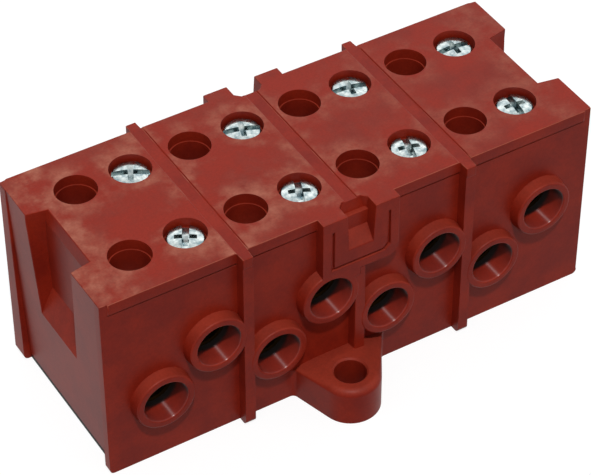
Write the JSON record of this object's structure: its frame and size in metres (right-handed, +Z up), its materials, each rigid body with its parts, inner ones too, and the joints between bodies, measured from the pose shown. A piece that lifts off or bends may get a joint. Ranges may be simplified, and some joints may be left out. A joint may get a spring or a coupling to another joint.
{
  "type": "barrier terminal strip",
  "caption": "Moulded barrier terminal block with collared wire entries on both long sides, screw wells on top, barrier ribs between its poles and a fixing lug at the foot of each long side.",
  "frame": {"origin": "middle of the strip's box, on the surface that it stands on", "axes": "+X along the strip to the right, -Y towards the front face with the collars seen, +Z up out of the screw wells"},
  "size_m": [0.108, 0.0664, 0.0436],
  "materials": {
    "housing": "satin moulded brick red with pale dusty bloom",
    "base": "matt black moulding",
    "terminal_block": "sawn and drilled brass",
    "screw": "bright blue-white zinc plate",
    "pressure_foot": "turned steel"
  },
  "bodies": {
    "root": {"housing": "housing", "base": "base", "terminal_block_1": "terminal_block", "terminal_block_2": "terminal_block", "terminal_block_3": "terminal_block", "terminal_block_4": "terminal_block"},
    "foot_1_front_low": {"foot_1_front_low": "pressure_foot"},
    "screw_1_front_low": {"screw_1_front_low": "screw"},
    "foot_1_front_high": {"foot_1_front_high": "pressure_foot"},
    "screw_1_front_high": {"screw_1_front_high": "screw"},
    "foot_1_back_low": {"foot_1_back_low": "pressure_foot"},
    "screw_1_back_low": {"screw_1_back_low": "screw"},
    "foot_1_back_high": {"foot_1_back_high": "pressure_foot"},
    "screw_1_back_high": {"screw_1_back_high": "screw"},
    "foot_2_front_low": {"foot_2_front_low": "pressure_foot"},
    "screw_2_front_low": {"screw_2_front_low": "screw"},
    "foot_2_front_high": {"foot_2_front_high": "pressure_foot"},
    "screw_2_front_high": {"screw_2_front_high": "screw"},
    "foot_2_back_low": {"foot_2_back_low": "pressure_foot"},
    "screw_2_back_low": {"screw_2_back_low": "screw"},
    "foot_2_back_high": {"foot_2_back_high": "pressure_foot"},
    "screw_2_back_high": {"screw_2_back_high": "screw"},
    "foot_3_front_low": {"foot_3_front_low": "pressure_foot"},
    "screw_3_front_low": {"screw_3_front_low": "screw"},
    "foot_3_front_high": {"foot_3_front_high": "pressure_foot"},
    "screw_3_front_high": {"screw_3_front_high": "screw"},
    "foot_3_back_low": {"foot_3_back_low": "pressure_foot"},
    "screw_3_back_low": {"screw_3_back_low": "screw"},
    "foot_3_back_high": {"foot_3_back_high": "pressure_foot"},
    "screw_3_back_high": {"screw_3_back_high": "screw"},
    "foot_4_front_low": {"foot_4_front_low": "pressure_foot"},
    "screw_4_front_low": {"screw_4_front_low": "screw"},
    "foot_4_front_high": {"foot_4_front_high": "pressure_foot"},
    "screw_4_front_high": {"screw_4_front_high": "screw"},
    "foot_4_back_low": {"foot_4_back_low": "pressure_foot"},
    "screw_4_back_low": {"screw_4_back_low": "screw"},
    "foot_4_back_high": {"foot_4_back_high": "pressure_foot"},
    "screw_4_back_high": {"screw_4_back_high": "screw"}
  },
  "joints": [
    {"name": "screw_1_front_low_drive", "type": "slide", "parent": "root", "child": "foot_1_front_low", "axis": [0, 0, -1], "range_m": [0, 0.0045]},
    {"name": "screw_1_front_low_turn", "type": "hinge", "parent": "foot_1_front_low", "child": "screw_1_front_low", "pos_m": [-0.04255, -0.0106, 0.0326], "axis": [0, 0, -1], "range_deg": [0, 1620]},
    {"name": "screw_1_front_high_drive", "type": "slide", "parent": "root", "child": "foot_1_front_high", "axis": [0, 0, -1], "range_m": [0, 0.0045]},
    {"name": "screw_1_front_high_turn", "type": "hinge", "parent": "foot_1_front_high", "child": "screw_1_front_high", "pos_m": [-0.03095, -0.0106, 0.0414], "axis": [0, 0, -1], "range_deg": [0, 1620]},
    {"name": "screw_1_back_low_drive", "type": "slide", "parent": "root", "child": "foot_1_back_low", "axis": [0, 0, -1], "range_m": [0, 0.0045]},
    {"name": "screw_1_back_low_turn", "type": "hinge", "parent": "foot_1_back_low", "child": "screw_1_back_low", "pos_m": [-0.04255, 0.0106, 0.0326], "axis": [0, 0, -1], "range_deg": [0, 1620]},
    {"name": "screw_1_back_high_drive", "type": "slide", "parent": "root", "child": "foot_1_back_high", "axis": [0, 0, -1], "range_m": [0, 0.0045]},
    {"name": "screw_1_back_high_turn", "type": "hinge", "parent": "foot_1_back_high", "child": "screw_1_back_high", "pos_m": [-0.03095, 0.0106, 0.0414], "axis": [0, 0, -1], "range_deg": [0, 1620]},
    {"name": "screw_2_front_low_drive", "type": "slide", "parent": "root", "child": "foot_2_front_low", "axis": [0, 0, -1], "range_m": [0, 0.0045]},
    {"name": "screw_2_front_low_turn", "type": "hinge", "parent": "foot_2_front_low", "child": "screw_2_front_low", "pos_m": [-0.01805, -0.0106, 0.0326], "axis": [0, 0, -1], "range_deg": [0, 1620]},
    {"name": "screw_2_front_high_drive", "type": "slide", "parent": "root", "child": "foot_2_front_high", "axis": [0, 0, -1], "range_m": [0, 0.0045]},
    {"name": "screw_2_front_high_turn", "type": "hinge", "parent": "foot_2_front_high", "child": "screw_2_front_high", "pos_m": [-0.00645, -0.0106, 0.0414], "axis": [0, 0, -1], "range_deg": [0, 1620]},
    {"name": "screw_2_back_low_drive", "type": "slide", "parent": "root", "child": "foot_2_back_low", "axis": [0, 0, -1], "range_m": [0, 0.0045]},
    {"name": "screw_2_back_low_turn", "type": "hinge", "parent": "foot_2_back_low", "child": "screw_2_back_low", "pos_m": [-0.01805, 0.0106, 0.0326], "axis": [0, 0, -1], "range_deg": [0, 1620]},
    {"name": "screw_2_back_high_drive", "type": "slide", "parent": "root", "child": "foot_2_back_high", "axis": [0, 0, -1], "range_m": [0, 0.0045]},
    {"name": "screw_2_back_high_turn", "type": "hinge", "parent": "foot_2_back_high", "child": "screw_2_back_high", "pos_m": [-0.00645, 0.0106, 0.0414], "axis": [0, 0, -1], "range_deg": [0, 1620]},
    {"name": "screw_3_front_low_drive", "type": "slide", "parent": "root", "child": "foot_3_front_low", "axis": [0, 0, -1], "range_m": [0, 0.0045]},
    {"name": "screw_3_front_low_turn", "type": "hinge", "parent": "foot_3_front_low", "child": "screw_3_front_low", "pos_m": [0.00645, -0.0106, 0.0326], "axis": [0, 0, -1], "range_deg": [0, 1620]},
    {"name": "screw_3_front_high_drive", "type": "slide", "parent": "root", "child": "foot_3_front_high", "axis": [0, 0, -1], "range_m": [0, 0.0045]},
    {"name": "screw_3_front_high_turn", "type": "hinge", "parent": "foot_3_front_high", "child": "screw_3_front_high", "pos_m": [0.01805, -0.0106, 0.0414], "axis": [0, 0, -1], "range_deg": [0, 1620]},
    {"name": "screw_3_back_low_drive", "type": "slide", "parent": "root", "child": "foot_3_back_low", "axis": [0, 0, -1], "range_m": [0, 0.0045]},
    {"name": "screw_3_back_low_turn", "type": "hinge", "parent": "foot_3_back_low", "child": "screw_3_back_low", "pos_m": [0.00645, 0.0106, 0.0326], "axis": [0, 0, -1], "range_deg": [0, 1620]},
    {"name": "screw_3_back_high_drive", "type": "slide", "parent": "root", "child": "foot_3_back_high", "axis": [0, 0, -1], "range_m": [0, 0.0045]},
    {"name": "screw_3_back_high_turn", "type": "hinge", "parent": "foot_3_back_high", "child": "screw_3_back_high", "pos_m": [0.01805, 0.0106, 0.0414], "axis": [0, 0, -1], "range_deg": [0, 1620]},
    {"name": "screw_4_front_low_drive", "type": "slide", "parent": "root", "child": "foot_4_front_low", "axis": [0, 0, -1], "range_m": [0, 0.0045]},
    {"name": "screw_4_front_low_turn", "type": "hinge", "parent": "foot_4_front_low", "child": "screw_4_front_low", "pos_m": [0.03095, -0.0106, 0.0326], "axis": [0, 0, -1], "range_deg": [0, 1620]},
    {"name": "screw_4_front_high_drive", "type": "slide", "parent": "root", "child": "foot_4_front_high", "axis": [0, 0, -1], "range_m": [0, 0.0045]},
    {"name": "screw_4_front_high_turn", "type": "hinge", "parent": "foot_4_front_high", "child": "screw_4_front_high", "pos_m": [0.04255, -0.0106, 0.0414], "axis": [0, 0, -1], "range_deg": [0, 1620]},
    {"name": "screw_4_back_low_drive", "type": "slide", "parent": "root", "child": "foot_4_back_low", "axis": [0, 0, -1], "range_m": [0, 0.0045]},
    {"name": "screw_4_back_low_turn", "type": "hinge", "parent": "foot_4_back_low", "child": "screw_4_back_low", "pos_m": [0.03095, 0.0106, 0.0326], "axis": [0, 0, -1], "range_deg": [0, 1620]},
    {"name": "screw_4_back_high_drive", "type": "slide", "parent": "root", "child": "foot_4_back_high", "axis": [0, 0, -1], "range_m": [0, 0.0045]},
    {"name": "screw_4_back_high_turn", "type": "hinge", "parent": "foot_4_back_high", "child": "screw_4_back_high", "pos_m": [0.04255, 0.0106, 0.0414], "axis": [0, 0, -1], "range_deg": [0, 1620]}
  ],
  "couplings": [
    {"joint": "screw_1_front_low_turn", "follows": "screw_1_front_low_drive", "rad_per_m": 6283.2},
    {"joint": "screw_1_front_high_turn", "follows": "screw_1_front_high_drive", "rad_per_m": 6283.2},
    {"joint": "screw_1_back_low_turn", "follows": "screw_1_back_low_drive", "rad_per_m": 6283.2},
    {"joint": "screw_1_back_high_turn", "follows": "screw_1_back_high_drive", "rad_per_m": 6283.2},
    {"joint": "screw_2_front_low_turn", "follows": "screw_2_front_low_drive", "rad_per_m": 6283.2},
    {"joint": "screw_2_front_high_turn", "follows": "screw_2_front_high_drive", "rad_per_m": 6283.2},
    {"joint": "screw_2_back_low_turn", "follows": "screw_2_back_low_drive", "rad_per_m": 6283.2},
    {"joint": "screw_2_back_high_turn", "follows": "screw_2_back_high_drive", "rad_per_m": 6283.2},
    {"joint": "screw_3_front_low_turn", "follows": "screw_3_front_low_drive", "rad_per_m": 6283.2},
    {"joint": "screw_3_front_high_turn", "follows": "screw_3_front_high_drive", "rad_per_m": 6283.2},
    {"joint": "screw_3_back_low_turn", "follows": "screw_3_back_low_drive", "rad_per_m": 6283.2},
    {"joint": "screw_3_back_high_turn", "follows": "screw_3_back_high_drive", "rad_per_m": 6283.2},
    {"joint": "screw_4_front_low_turn", "follows": "screw_4_front_low_drive", "rad_per_m": 6283.2},
    {"joint": "screw_4_front_high_turn", "follows": "screw_4_front_high_drive", "rad_per_m": 6283.2},
    {"joint": "screw_4_back_low_turn", "follows": "screw_4_back_low_drive", "rad_per_m": 6283.2},
    {"joint": "screw_4_back_high_turn", "follows": "screw_4_back_high_drive", "rad_per_m": 6283.2}
  ]
}
